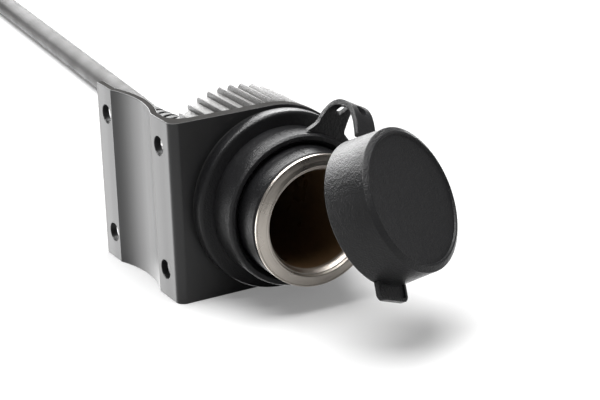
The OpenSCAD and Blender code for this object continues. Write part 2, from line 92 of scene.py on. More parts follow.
# Where the strap, the pull tab and the mould lines lie round the axis, in degrees
STRAP_TURN = 28
TAB_TURN = 108.3
MOULD_TURNS = (-4.1, 175.9)

# Noise hardly leaves this part of 0..1
NOISE_RANGE = (0.3, 0.7)

# Where the shell turns from nickel to brown: inwards over its lip, and rearwards from its mouth
BROWN_RADII = (11.3 * MM, 10.9 * MM)
BROWN_DEPTHS = (1.3 * MM, 2.6 * MM)

# The floor's own light: its strength to the camera and its most in reflections, where it grows
# between two cosines of the angle between FROM_REAR and the way back along the ray
GLOW_SEEN = 0.2
GLOW_MIRRORED = 2.8
GLOW_ENDS = (0.42, 0.8)
FROM_REAR = (-0.09, -1.0, 0.0)

# How dark the floor's colour gets in reflections
FLOOR_MIRRORED = 0.48

# What the lamps look at
LAMP_TARGET = Vector((0, 0.02, 0))

# Where the lead is in its coil, by how far it has turned, in degrees: its end, and the stretches
# where it comes in, steps inwards, climbs a layer, steps outwards, and climbs and settles on top
COIL_END = 1655
COMES_IN = (-10, 80)
STEPS_IN = (345, 405)
CLIMBS = (705, 765)
STEPS_OUT = (1065, 1125)
CLIMBS_TOP = (1425, 1495)
SETTLES = (1440, 1500)
LAST_RISE = 75


def reach(node, axis):
    """How far a node reaches from the origin along the positive side of an axis."""
    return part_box(node)[1][axis]


def start(node, axis):
    """Where a node begins along an axis."""
    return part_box(node)[0][axis]


# Sizes and colours that a user would change


class BracketSettings(bpy.types.PropertyGroup):
    """The angle bracket."""

    edge: FloatProperty(
        name="Edge",
        description="Width of the broken edges of the bracket",
        default=0.16 * MM,
        unit="LENGTH",
    )
    colour: FloatVectorProperty(
        name="Anodising",
        description="Colour of the dark anodised surface",
        default=(0.01, 0.01, 0.011),
        subtype="COLOR",
    )
    cut_colour: FloatVectorProperty(
        name="Sawn ends",
        description="Colour of the sawn ends of the bracket",
        default=(0.03, 0.028, 0.026),
        subtype="COLOR",
    )


class SocketSettings(bpy.types.PropertyGroup):
    """The housing, the shell in it and the nut behind the face plate."""

    flange_radius: FloatProperty(
        name="Flange radius",
        description="Outer radius of the flange on the face plate",
        default=reach("socket_housing", 0),
        unit="LENGTH",
    )
    flange_thickness: FloatProperty(
        name="Flange thickness",
        description="Thickness of the flange",
        default=3 * MM,
        unit="LENGTH",
    )
    gasket: FloatProperty(
        name="Gasket",
        description="Thickness of the gasket between the flange and the face plate",
        default=1 * MM,
        unit="LENGTH",
    )
    collar_radius: FloatProperty(
        name="Collar radius",
        description="Outer radius of the collar in front of the flange",
        default=14.2 * MM,
        unit="LENGTH",
    )
    barrel_radius: FloatProperty(
        name="Barrel radius",
        description="Radius over the thread of the barrel",
        default=13.9 * MM,
        unit="LENGTH",
    )
    thread_pitch: FloatProperty(
        name="Thread pitch",
        description="Distance between two turns of the thread",
        default=1.5 * MM,
        unit="LENGTH",
    )
    well_radius: FloatProperty(
        name="Well radius",
        description="Radius of the plug well",
        default=10.7 * MM,
        unit="LENGTH",
    )
    rim_radius: FloatProperty(
        name="Rim radius",
        description="Outer radius of the rolled rim",
        default=reach("metal_shell", 0),
        unit="LENGTH",
    )
    nut_ribs: IntProperty(
        name="Nut ribs",
        description="Number of grip ribs round the ring nut",
        default=46,
        min=8,
    )
    rib_height: FloatProperty(
        name="Rib height",
        description="Height of a grip rib of the ring nut",
        default=1.2 * MM,
        unit="LENGTH",
    )
    plastic: FloatVectorProperty(
        name="Housing plastic",
        description="Colour of the moulded housing",
        default=(0.008, 0.008, 0.009),
        subtype="COLOR",
    )
    # A mid grey, lighter than the nut's black plastic: painted sheen of the bright backdrop behind
    # it
    nut_plastic_and_sheen: FloatVectorProperty(
        name="Nut plastic and sheen",
        description="Colour of the ring nut",
        default=(0.17, 0.167, 0.164),
        subtype="COLOR",
    )
    nickel: FloatVectorProperty(
        name="Nickel",
        description="Colour of the plated rim",
        default=(0.76, 0.7, 0.63),
        subtype="COLOR",
    )
    well_brown: FloatVectorProperty(
        name="Inside of the well",
        description="Colour of the bare metal inside the well",
        default=(0.13, 0.075, 0.035),
        subtype="COLOR",
    )


class CapSettings(bpy.types.PropertyGroup):
    """The soft ring, strap and cap."""

    radius: FloatProperty(
        name="Cap radius",
        description="Radius of the cap at its open end",
        default=15.4 * MM,
        unit="LENGTH",
    )
    depth: FloatProperty(
        name="Cap depth",
        description="Depth of the cap",
        default=10.2 * MM,
        unit="LENGTH",
    )
    ring_radius: FloatProperty(
        name="Ring radius",
        description="Outer radius of the ring on the collar",
        default=reach("cap_ring", 0),
        unit="LENGTH",
    )
    strap_width: FloatProperty(
        name="Strap width",
        description="Width of the strap where it meets the cap",
        default=4.8 * MM,
        unit="LENGTH",
    )
    crest_reach: FloatProperty(
        name="Crest reach",
        description="How far the crest of the strap lies in front of the face plate",
        default=15.2 * MM,
        unit="LENGTH",
    )
    crest_height: FloatProperty(
        name="Crest height",
        description="How far the crest of the strap lies from the axis",
        default=24.4 * MM,
        unit="LENGTH",
    )
    strap_root: FloatProperty(
        name="Strap root",
        description="Width of the strap where it leaves the ring",
        default=7 * MM,
        unit="LENGTH",
    )
    strap_thickness: FloatProperty(
        name="Strap thickness",
        description="Thickness of the strap",
        default=1.15 * MM,
        unit="LENGTH",
    )
    tab_width: FloatProperty(
        name="Tab width",
        description="Width of the pull tab",
        default=8.8 * MM,
        unit="LENGTH",
    )
    tab_length: FloatProperty(
        name="Tab length",
        description="How far the pull tab stands out",
        default=3.1 * MM,
        unit="LENGTH",
    )
    rubber: FloatVectorProperty(
        name="Rubber",
        description="Colour of the soft moulding",
        default=(0.012, 0.012, 0.013),
        subtype="COLOR",
    )


class LeadSettings(bpy.types.PropertyGroup):
    """The lead past the rear cover."""

    diameter: FloatProperty(
        name="Diameter",
        description="Diameter of the lead",
        default=6 * MM,
        unit="LENGTH",
    )
    coil_radius: FloatProperty(
        name="Coil radius",
        description="Radius of the coil at the middle of its turns",
        default=33 * MM,
        unit="LENGTH",
    )
    jacket: FloatVectorProperty(
        name="Jacket",
        description="Colour of the lead's jacket",
        default=(0.03, 0.028, 0.027),
        subtype="COLOR",
    )


class StageSettings(bpy.types.PropertyGroup):
    """The floor, the lamps and the camera."""

    floor: FloatVectorProperty(
        name="Floor",
        description="Colour of the floor",
        default=(0.8, 0.8, 0.8),
        subtype="COLOR",
    )
    lens: FloatProperty(
        name="Lens",
        description="Focal length of the camera on a sensor 36 mm wide, in millimetres",
        default=120.73,
    )
    azimuth: FloatProperty(
        name="Azimuth",
        description="Direction of view round the vertical, from +Y",
        default=math.radians(28.5),
        subtype="ANGLE",
    )
    elevation: FloatProperty(
        name="Elevation",
        description="Height of the camera over the horizon",
        default=math.radians(20.18),
        subtype="ANGLE",
    )
    roll: FloatProperty(
        name="Roll",
        description="Turn of the camera about its own line of sight",
        default=math.radians(-1.92),
        subtype="ANGLE",
    )
    camera_place: FloatVectorProperty(
        name="Camera place",
        description="Where the camera stands",
        default=(-186.85 * MM, -355.49 * MM, 146.32 * MM),
        subtype="TRANSLATION",
        unit="LENGTH",
    )


# Shader node groups that several materials share


def new_group(name, inputs):
    """An empty shader group with named inputs (name, default), and a height and a mask to give."""
    group = bpy.data.node_groups.new(name, "ShaderNodeTree")
    for label, value in inputs:
        socket = group.interface.new_socket(label, in_out="INPUT", socket_type="NodeSocketFloat")
        socket.default_value = value
    for label in ("Height", "Mask"):
        group.interface.new_socket(label, in_out="OUTPUT", socket_type="NodeSocketFloat")
    return group, group.nodes.new("NodeGroupInput"), group.nodes.new("NodeGroupOutput")


def feed(links, socket, value):
    """Gives an input a number, or a link from an output."""
    if isinstance(value, (int, float)):
        socket.default_value = value
    else:
        links.new(value, socket)


def maths(nodes, links, operation, first, second):
    """A maths node on two numbers or outputs."""
    node = nodes.new("ShaderNodeMath")
    node.operation = operation
    feed(links, node.inputs[0], first)
    feed(links, node.inputs[1], second)
    return node.outputs[0]


def noise(nodes, links, vector, scale, detail, roughness=0.5):
    """A noise texture, whose scale is a number or an output."""
    node = nodes.new("ShaderNodeTexNoise")
    feed(links, node.inputs["Scale"], scale)
    node.inputs["Detail"].default_value = detail
    node.inputs["Roughness"].default_value = roughness
    links.new(vector, node.inputs["Vector"])
    return node.outputs["Fac"]


def ramp(nodes, links, value, ends, results=(0.0, 1.0), shape="LINEAR"):
    """Maps a value from the two ends to the two results."""
    node = nodes.new("ShaderNodeMapRange")
    node.interpolation_type = shape
    node.inputs["From Min"].default_value, node.inputs["From Max"].default_value = ends
    node.inputs["To Min"].default_value, node.inputs["To Max"].default_value = results
    links.new(value, node.inputs["Value"])
    return node.outputs[0]


def grain_group():
    """Spark-eroded grain of a mould: a height for bump, and a mask for colour and roughness."""
    if "mould grain" in bpy.data.node_groups:
        return bpy.data.node_groups["mould grain"]
    group, inputs, outputs = new_group("mould grain", [("Scale", 3000.0), ("Coarse share", 0.4)])
    nodes, links = group.nodes, group.links
    place = nodes.new("ShaderNodeTexCoord").outputs["Object"]
    scale = inputs.outputs["Scale"]
    fine = noise(nodes, links, place, scale, 2.0, roughness=0.6)
    coarse = noise(nodes, links, place, maths(nodes, links, "MULTIPLY", scale, 0.3), 3.0)
    patches = noise(nodes, links, place, 140.0, 3.0)
    mix = nodes.new("ShaderNodeMix")
    links.new(inputs.outputs["Coarse share"], mix.inputs["Factor"])
    links.new(fine, mix.inputs["A"])
    links.new(coarse, mix.inputs["B"])
    links.new(mix.outputs["Result"], outputs.inputs["Height"])
    links.new(patches, outputs.inputs["Mask"])
    return group


def streak_group():
    """Fine straight lines along Z, as extruding or drawing leaves them."""
    if "drawn lines" in bpy.data.node_groups:
        return bpy.data.node_groups["drawn lines"]
    group, inputs, outputs = new_group("drawn lines", [("Scale", 900.0), ("Stretch", 0.02)])
    nodes, links = group.nodes, group.links
    squeeze = nodes.new("ShaderNodeCombineXYZ")
    for axis, share in zip("XYZ", (1.0, 1.0, inputs.outputs["Stretch"])):
        feed(links, squeeze.inputs[axis], share)
    scaled = nodes.new("ShaderNodeVectorMath")
    scaled.operation = "MULTIPLY"
    links.new(nodes.new("ShaderNodeTexCoord").outputs["Object"], scaled.inputs[0])
    links.new(squeeze.outputs[0], scaled.inputs[1])
    lines = noise(nodes, links, scaled.outputs[0], inputs.outputs["Scale"], 4.0)
    bands = noise(nodes, links, scaled.outputs[0], 160.0, 2.0)
    links.new(lines, outputs.inputs["Height"])
    links.new(bands, outputs.inputs["Mask"])
    return group


# Materials


def new_material(name):
    """A material with only its Principled shader and its output."""
    material = bpy.data.materials.new(name)
    material.use_nodes = True
    nodes = material.node_tree.nodes
    nodes.clear()
    shader = nodes.new("ShaderNodeBsdfPrincipled")
    output = nodes.new("ShaderNodeOutputMaterial")
    material.node_tree.links.new(shader.outputs[0], output.inputs[0])
    return material, nodes, material.node_tree.links, shader


def placed(nodes, group, **values):
    """The height and the mask of a shared group, placed in a material with its own values."""
    node = nodes.new("ShaderNodeGroup")
    node.node_tree = group
    for label, value in values.items():
        node.inputs[label].default_value = value
    return node.outputs["Height"], node.outputs["Mask"]


def span(nodes, links, mask, low, high):
    """Maps a mask, of which noise fills only the middle, to low..high."""
    return ramp(nodes, links, mask, NOISE_RANGE, (low, high))


def tinted(nodes, links, mask, first, second):
    """A colour that goes from the first to the second with a mask."""
    mix = nodes.new("ShaderNodeMix")
    mix.data_type = "RGBA"
    links.new(mask, mix.inputs["Factor"])
    mix.inputs[6].default_value = (*first, 1)
    mix.inputs[7].default_value = (*second, 1)
    return mix.outputs[2]


def shade(colour, factor):
    """A colour made darker or lighter."""
    return tuple(min(1.0, c * factor) for c in colour)


def varied(nodes, links, mask, shader, colour, shades, roughness):
    """Varies a surface with a mask: its colour between two shades, and its roughness."""
    dark, light = (shade(colour, factor) for factor in shades)
    links.new(tinted(nodes, links, mask, dark, light), shader.inputs["Base Color"])
    links.new(span(nodes, links, mask, *roughness), shader.inputs["Roughness"])


def bumped(nodes, links, height, shader, strength, distance):
    """Feeds a height to a shader's normal."""
    bump = nodes.new("ShaderNodeBump")
    bump.inputs["Strength"].default_value = strength
    bump.inputs["Distance"].default_value = distance
    links.new(height, bump.inputs["Height"])
    links.new(bump.outputs[0], shader.inputs["Normal"])


def grained_plastic(name, colour, roughness, scale=3200.0, depth=0.35):
    """A moulded plastic or rubber with a spark-eroded grain."""
    material, nodes, links, shader = new_material(name)
    height, mask = placed(nodes, grain_group(), Scale=scale)
    varied(nodes, links, mask, shader, colour, (0.8, 1.25), roughness)
    bumped(nodes, links, height, shader, depth, 0.25 * MM)
    shader.inputs["IOR"].default_value = 1.5
    return material


def anodised(name, colour):
    """Dark anodised aluminium with drawn lines along Z."""
    material, nodes, links, shader = new_material(name)
    height, mask = placed(nodes, streak_group())
    varied(nodes, links, mask, shader, colour, (0.8, 1.25), (0.36, 0.44))
    bumped(nodes, links, height, shader, 0.3, 0.02 * MM)
    shader.inputs["IOR"].default_value = 1.8
    return material


def sawn(name, colour):
    """The sawn ends of the bracket: dull, with the marks of the saw across them."""
    material, nodes, links, shader = new_material(name)
    marks = nodes.new("ShaderNodeTexWave")
    marks.bands_direction = "DIAGONAL"
    marks.inputs["Scale"].default_value = 700.0
    marks.inputs["Distortion"].default_value = 4.0
    marks.inputs["Detail"].default_value = 3.0
    links.new(nodes.new("ShaderNodeTexCoord").outputs["Object"], marks.inputs["Vector"])
    mask = placed(nodes, grain_group())[1]
    varied(nodes, links, mask, shader, colour, (0.75, 1.3), (0.7, 0.85))
    bumped(nodes, links, marks.outputs["Fac"], shader, 0.3, 0.03 * MM)
    shader.inputs["IOR"].default_value = 1.3
    shader.inputs["Specular IOR Level"].default_value = 0.12
    return material


def plated_shell(name, nickel, brown, mouth_y):
    """Nickel on the rim, which turns into the brown inside of the well behind the mouth."""
    material, nodes, links, shader = new_material(name)
    apart = nodes.new("ShaderNodeSeparateXYZ")
    links.new(nodes.new("ShaderNodeTexCoord").outputs["Object"], apart.inputs[0])
    across = nodes.new("ShaderNodeCombineXYZ")
    for axis in "XZ":
        links.new(apart.outputs[axis], across.inputs[axis])
    radius = nodes.new("ShaderNodeVectorMath")
    radius.operation = "LENGTH"
    links.new(across.outputs[0], radius.inputs[0])
    inside = ramp(nodes, links, radius.outputs["Value"], BROWN_RADII)
    deep = ramp(nodes, links, apart.outputs["Y"], [mouth_y + depth for depth in BROWN_DEPTHS])
    in_well = maths(nodes, links, "MULTIPLY", inside, deep)
    links.new(tinted(nodes, links, in_well, nickel, brown), shader.inputs["Base Color"])
    height, mask = placed(nodes, grain_group(), Scale=5200.0)
    links.new(span(nodes, links, mask, 0.22, 0.42), shader.inputs["Roughness"])
    bumped(nodes, links, height, shader, 0.6, 0.05 * MM)
    links.new(maths(nodes, links, "SUBTRACT", 1.0, in_well), shader.inputs["Metallic"])
    return material


def plain_metal(name, colour, roughness):
    """A bare metal with a little grain, for contacts."""
    material, nodes, links, shader = new_material(name)
    height, mask = placed(nodes, grain_group(), Scale=2600.0)
    varied(nodes, links, mask, shader, colour, (0.8, 1.0), (roughness, roughness + 0.12))
    bumped(nodes, links, height, shader, 0.15, 0.02 * MM)
    shader.inputs["Metallic"].default_value = 1.0
    return material


def laminate(name, colour):
    """Brown paper laminate with its layers faintly seen."""
    material, nodes, links, shader = new_material(name)
    mask = placed(nodes, streak_group(), Scale=500.0, Stretch=0.4)[1]
    varied(nodes, links, mask, shader, colour, (0.6, 1.3), (0.45, 0.6))
    return material


def white_floor(name, colour):
    """A white floor with shadows. In reflections it is bright to the rear and dim to the front."""
    material = bpy.data.materials.new(name)
    material.use_nodes = True
    nodes, links = material.node_tree.nodes, material.node_tree.links
    nodes.clear()
    path = nodes.new("ShaderNodeLightPath")
    mirrored = path.outputs["Is Glossy Ray"]
    diffuse = nodes.new("ShaderNodeBsdfDiffuse")
    dimmed = tinted(nodes, links, mirrored, colour, shade(colour, FLOOR_MIRRORED))
    links.new(dimmed, diffuse.inputs["Color"])
    rearwards = nodes.new("ShaderNodeVectorMath")
    rearwards.operation = "DOT_PRODUCT"
    rearwards.inputs[1].default_value = FROM_REAR
    links.new(nodes.new("ShaderNodeNewGeometry").outputs["Incoming"], rearwards.inputs[0])
    results = (0.0, GLOW_MIRRORED)
    lit = ramp(nodes, links, rearwards.outputs["Value"], GLOW_ENDS, results, "SMOOTHSTEP")
    seen = maths(nodes, links, "MULTIPLY", path.outputs["Is Camera Ray"], GLOW_SEEN)
    reflected = maths(nodes, links, "MULTIPLY", mirrored, lit)
    glow = nodes.new("ShaderNodeEmission")
    links.new(maths(nodes, links, "MAXIMUM", seen, reflected), glow.inputs["Strength"])
    both = nodes.new("ShaderNodeAddShader")
    output = nodes.new("ShaderNodeOutputMaterial")
    links.new(diffuse.outputs[0], both.inputs[0])
    links.new(glow.outputs[0], both.inputs[1])
    links.new(both.outputs[0], output.inputs[0])
    return material


# Mesh helpers


def add_object(name, data, material=None):
    """Links a mesh, a curve, a lamp or a camera as an object at the origin."""
    piece = bpy.data.objects.new(name, data)
    bpy.context.scene.collection.objects.link(piece)
    if material is not None:
        data.materials.append(material)
    return piece


def closed_mesh(builder, name):
    """The mesh of a builder, with its faces turned outwards."""
    bmesh.ops.recalc_face_normals(builder, faces=builder.faces)
    mesh = bpy.data.meshes.new(name)
    builder.to_mesh(mesh)
    builder.free()
    return mesh


def lofted(name, rows, front_closed=True):
    """A mesh through closed rows of points in millimetres, with its ends closed."""
    builder = bmesh.new()
    rings = [[builder.verts.new([c * MM for c in point]) for point in row] for row in rows]
    for before, after in zip(rings, rings[1:]):
        for k in range(len(before)):
            m = (k + 1) % len(before)
            builder.faces.new((before[k], before[m], after[m], after[k]))
    if front_closed:
        builder.faces.new(list(reversed(rings[0])))
    builder.faces.new(rings[-1])
    return closed_mesh(builder, name)


def smooth(mesh, angle=35.0):
    """Smooth shading, with edges sharper than the angle kept."""
    mesh.shade_smooth()
    mesh.set_sharp_from_angle(angle=math.radians(angle))


def arc_points(corner, before, after, radius, steps):
    """Points of the round that replaces a corner between two straight sides."""
    u = (Vector(before) - Vector(corner)).normalized()
    w = (Vector(after) - Vector(corner)).normalized()
    half = math.acos(max(-1.0, min(1.0, u.dot(w)))) / 2
    reach_along = radius / math.tan(half)
    centre = Vector(corner) + (u + w).normalized() * (radius / math.sin(half))
    first = Vector(corner) + u * reach_along - centre
    last = Vector(corner) + w * reach_along - centre
    turn = first.angle_signed(last)
    return [centre + Matrix.Rotation(-turn * k / steps, 2) @ first for k in range(steps + 1)]


def rounded(corners, steps=4):
    """A closed outline from corners, each with its two coordinates and the radius of its round."""
    points = []
    count = len(corners)
    for k, (a, b, round_radius) in enumerate(corners):
        if round_radius <= 0:
            points.append(Vector((a, b)))
            continue
        before = corners[k - 1][:2]
        after = corners[(k + 1) % count][:2]
        points.extend(arc_points((a, b), before, after, round_radius, steps))
    return points


def turned(name, corners, material, steps=160, place=None):
    """A turned piece. Its outline holds (radius, distance along Y, round) in millimetres.

    A corner on the axis has radius 0. The place is a matrix that moves the turned piece.
    """
    angles = [2 * math.pi * k / steps for k in range(steps)]
    builder = bmesh.new()
    rings = []
    for point in rounded(corners):
        radius, along = point[0] * MM, point[1] * MM
        if point[0] < 1e-6:
            ring = [(0, along, 0)]
        else:
            ring = [(radius * math.cos(angle), along, radius * math.sin(angle)) for angle in angles]
        rings.append([builder.verts.new(at) for at in ring])
    for k, ring in enumerate(rings):
        other = rings[(k + 1) % len(rings)]
        if len(ring) == 1 and len(other) == 1:
            continue
        for i in range(steps):
            j = (i + 1) % steps
            if len(ring) == 1:
                builder.faces.new((ring[0], other[j], other[i]))
            elif len(other) == 1:
                builder.faces.new((ring[i], ring[j], other[0]))
            else:
                builder.faces.new((ring[i], ring[j], other[j], other[i]))
    mesh = closed_mesh(builder, name)
    if place is not None:
        mesh.transform(place)
    smooth(mesh)
    return add_object(name, mesh, material)


def merged_copy(node, name, material):
    """A copy of a CAD node with its triangles merged into one clean mesh."""
    mesh = frame["nodes"][node].data.copy()
    mesh.name = name
    builder = bmesh.new()
    builder.from_mesh(mesh)
    bmesh.ops.remove_doubles(builder, verts=builder.verts, dist=0.002 * MM)
    bmesh.ops.dissolve_limit(
        builder, angle_limit=math.radians(0.3), verts=builder.verts, edges=builder.edges
    )
    builder.to_mesh(mesh)
    builder.free()
    mesh.materials.clear()
    return add_object(name, mesh, material)


def apply_modifiers(piece):
    """Turns a piece and its modifiers into a plain mesh."""
    shown = piece.evaluated_get(bpy.context.evaluated_depsgraph_get())
    made = bpy.data.meshes.new_from_object(shown)
    made.name = piece.name
    piece.modifiers.clear()
    piece.data = made


def break_edges(piece, width, angle=30.0, crease=35.0):
    """Rounds the edges sharper than the angle, so that they catch light.

    Edges that are then still sharper than the crease are not shaded smooth.
    """
    bevel = piece.modifiers.new("broken edges", "BEVEL")
    bevel.width = width
    bevel.segments = 2
    bevel.limit_method = "ANGLE"
    bevel.angle_limit = math.radians(angle)
    bevel.use_clamp_overlap = True
    apply_modifiers(piece)
    smooth(piece.data, crease)
    flats = piece.modifiers.new("flat faces stay flat", "WEIGHTED_NORMAL")
    flats.keep_sharp = True
    flats.weight = 100
    apply_modifiers(piece)


def joined(name, pieces):
    """Joins mesh pieces into one."""
    builder = bmesh.new()
    materials = []
    for piece in pieces:
        first = len(builder.faces)
        builder.from_mesh(piece.data)
        builder.faces.ensure_lookup_table()
        shift = len(materials)
        materials.extend(piece.data.materials)
        for face in builder.faces[first:]:
            face.material_index += shift
    mesh = bpy.data.meshes.new(name)
    builder.to_mesh(mesh)
    builder.free()
    for material in materials:
        mesh.materials.append(material)
    for piece in pieces:
        bpy.data.objects.remove(piece)
    return add_object(name, mesh)


def finish_piece(piece, body, slot, *nodes):
    """Puts a piece on its body, in the place of its CAD nodes."""
    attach(piece, body)
    if nodes:
        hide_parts(*nodes)


def dress_node(node, material):
    """Gives a CAD node that stays as it is its material."""
    mesh = frame["nodes"][node].data
    mesh.materials.clear()
    mesh.materials.append(material)


# Geometry Nodes


def node_tree(name, inputs):
    """A Geometry Nodes tree with a geometry input and named inputs (name, socket type, default)."""
    tree = bpy.data.node_groups.new(name, "GeometryNodeTree")
    tree.interface.new_socket("Geometry", in_out="INPUT", socket_type="NodeSocketGeometry")
    for label, kind, value in inputs:
        socket = tree.interface.new_socket(label, in_out="INPUT", socket_type=kind)
        if value is not None:
            socket.default_value = value
    tree.interface.new_socket("Geometry", in_out="OUTPUT", socket_type="NodeSocketGeometry")
    return tree, tree.nodes.new("NodeGroupInput"), tree.nodes.new("NodeGroupOutput")


def close_tree(tree, inputs, outputs, geometry):
    """Ends a tree in Realize Instances and Set Material."""
    real = tree.nodes.new("GeometryNodeRealizeInstances")
    paint = tree.nodes.new("GeometryNodeSetMaterial")
    tree.links.new(geometry, real.inputs[0])
    tree.links.new(real.outputs[0], paint.inputs["Geometry"])
    tree.links.new(inputs.outputs["Material"], paint.inputs["Material"])
    tree.links.new(paint.outputs[0], outputs.inputs["Geometry"])
    return tree


def round_axis_tree():
    """Repeats the input geometry round the Y axis."""
    tree, inputs, outputs = node_tree(
        "copies round the axis",
        [("Count", "NodeSocketInt", 45), ("Material", "NodeSocketMaterial", None)],
    )
    nodes, links = tree.nodes, tree.links
    count = inputs.outputs["Count"]
    points = nodes.new("GeometryNodePoints")
    index = nodes.new("GeometryNodeInputIndex")
    share = maths(nodes, links, "DIVIDE", index.outputs[0], count)
    turn = nodes.new("ShaderNodeCombineXYZ")
    copies = nodes.new("GeometryNodeInstanceOnPoints")
    links.new(count, points.inputs["Count"])
    links.new(maths(nodes, links, "MULTIPLY", share, 2 * math.pi), turn.inputs["Y"])
    links.new(points.outputs[0], copies.inputs["Points"])
    links.new(inputs.outputs["Geometry"], copies.inputs["Instance"])
    links.new(turn.outputs[0], copies.inputs["Rotation"])
    return close_tree(tree, inputs, outputs, copies.outputs[0])


def thread_tree():
    """A screw thread on the Y axis: a small profile swept along a spiral."""
    tree, inputs, outputs = node_tree(
        "screw thread",
        [
            ("Radius", "NodeSocketFloat", 0.0137),
            ("Turns", "NodeSocketFloat", 3.0),
            ("Length", "NodeSocketFloat", 0.004),
            ("Start", "NodeSocketFloat", 0.0),
            ("Depth", "NodeSocketFloat", 0.0005),
            ("Material", "NodeSocketMaterial", None),
        ],
    )
    nodes, links = tree.nodes, tree.links
    spiral = nodes.new("GeometryNodeCurveSpiral")
    spiral.inputs["Resolution"].default_value = 96
    profile = nodes.new("GeometryNodeCurvePrimitiveCircle")
    profile.inputs["Resolution"].default_value = 6
    sweep = nodes.new("GeometryNodeCurveToMesh")
    sweep.inputs["Fill Caps"].default_value = True
    move = nodes.new("GeometryNodeTransform")
    move.inputs["Rotation"].default_value = (-math.pi / 2, 0, 0)
    offset = nodes.new("ShaderNodeCombineXYZ")
    for size, socket in (
        ("Radius", spiral.inputs["Start Radius"]),
        ("Radius", spiral.inputs["End Radius"]),
        ("Turns", spiral.inputs["Rotations"]),
        ("Length", spiral.inputs["Height"]),
        ("Depth", profile.inputs["Radius"]),
        ("Start", offset.inputs["Y"]),
    ):
        links.new(inputs.outputs[size], socket)
    links.new(spiral.outputs[0], sweep.inputs["Curve"])
    links.new(profile.outputs[0], sweep.inputs["Profile Curve"])
    links.new(offset.outputs[0], move.inputs["Translation"])
    links.new(sweep.outputs[0], move.inputs["Geometry"])
    return close_tree(tree, inputs, outputs, move.outputs[0])


def run_tree(piece, tree, values):
    """Runs a tree on a piece with values by input name, and leaves a plain mesh."""
    modifier = piece.modifiers.new(tree.name, "NODES")
    modifier.node_group = tree
    for item in tree.interface.items_tree:
        if item.in_out == "INPUT" and item.name in values:
            modifier[item.identifier] = values[item.name]
    apply_modifiers(piece)


# The pieces


def make_bracket(settings):
    """The sawn length of extrusion, with broken edges."""
    low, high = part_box("mounting_bracket")
    piece = merged_copy("mounting_bracket", "bracket", anodised("dark anodising", settings.colour))
    break_edges(piece, settings.edge, angle=25.0, crease=14.0)
    piece.data.materials.append(sawn("sawn ends", settings.cut_colour))
    close = 0.02 * MM
    arch_radius = high.z - 0.5 * MM
    for face in piece.data.polygons:
        at, normal = face.center, face.normal
        flat_end = abs(normal.z) > 0.9 and min(at.z - low.z, high.z - at.z) < close
        arch = at.x > 0 and abs(normal.y) < 0.3 and math.hypot(at.x, at.z) > arch_radius
        if flat_end or arch:
            face.material_index = 1
    finish_piece(piece, SOCKET, "bracket", "mounting_bracket")


def make_housing(settings):
    """Collar, flange and barrel in one moulding, with the thread on the barrel."""
    finish = grained_plastic("housing plastic", settings.plastic, (0.28, 0.38), 3000.0, 0.8)
    flange = settings.flange_radius / MM
    flange_front = -(settings.gasket + settings.flange_thickness) / MM
    back = -settings.gasket / MM
    collar = settings.collar_radius / MM
    barrel = settings.barrel_radius / MM
    bore = settings.well_radius / MM + 0.7
    front = start("socket_housing", 1) / MM
    rear = reach("socket_housing", 1) / MM
    body = turned(
        "housing",
        [
            (bore, front, 0.1),
            (collar - 0.8, front, 0.15),
            (collar, front + 0.8, 0.15),
            (collar, flange_front, 0.3),
            (flange, flange_front, 0.75),
            (flange, back, 0.1),
            (barrel - 0.5, back, 0),
            (barrel - 0.5, rear - 0.5, 0.2),
            (barrel - 1, rear, 0.1),
            (bore, rear, 0.1),
        ],
        finish,
    )
    thread = add_object("thread", bpy.data.meshes.new("thread"))
    nut_end = reach("ring_nut", 1)
    length = reach("socket_housing", 1) - nut_end - 0.9 * MM
    run_tree(
        thread,
        thread_tree(),
        {
            "Radius": settings.barrel_radius - 0.45 * MM,
            "Turns": length / settings.thread_pitch,
            "Length": length,
            "Start": nut_end + 0.3 * MM,
            "Depth": 0.45 * MM,
            "Material": finish,
        },
    )
    lines = [mould_line(collar, front + 0.9, flange_front, turn, finish) for turn in MOULD_TURNS]
    piece = joined("housing", [body, thread, *lines])
    smooth(piece.data)
    finish_piece(piece, SOCKET, "housing", "socket_housing")


def mould_line(radius, front, rear, turn, finish):
    """The thin ridge that a joint of the mould leaves along a round surface, in millimetres."""
    half = 0.07
    top = radius + 0.06
    foot = radius - 0.05
    section = [(-half, foot), (-half * 0.5, top), (half * 0.5, top), (half, foot)]
    stations = [(front - 0.05, 0.0), (front + 0.2, 1.0), (rear, 1.0)]
    rows = [[(x, y, foot + (z - foot) * share) for x, z in section] for y, share in stations]
    mesh = lofted("mould_line", rows, front_closed=False)
    mesh.transform(Matrix.Rotation(math.radians(turn), 4, "Y"))
    return add_object("mould_line", mesh, finish)


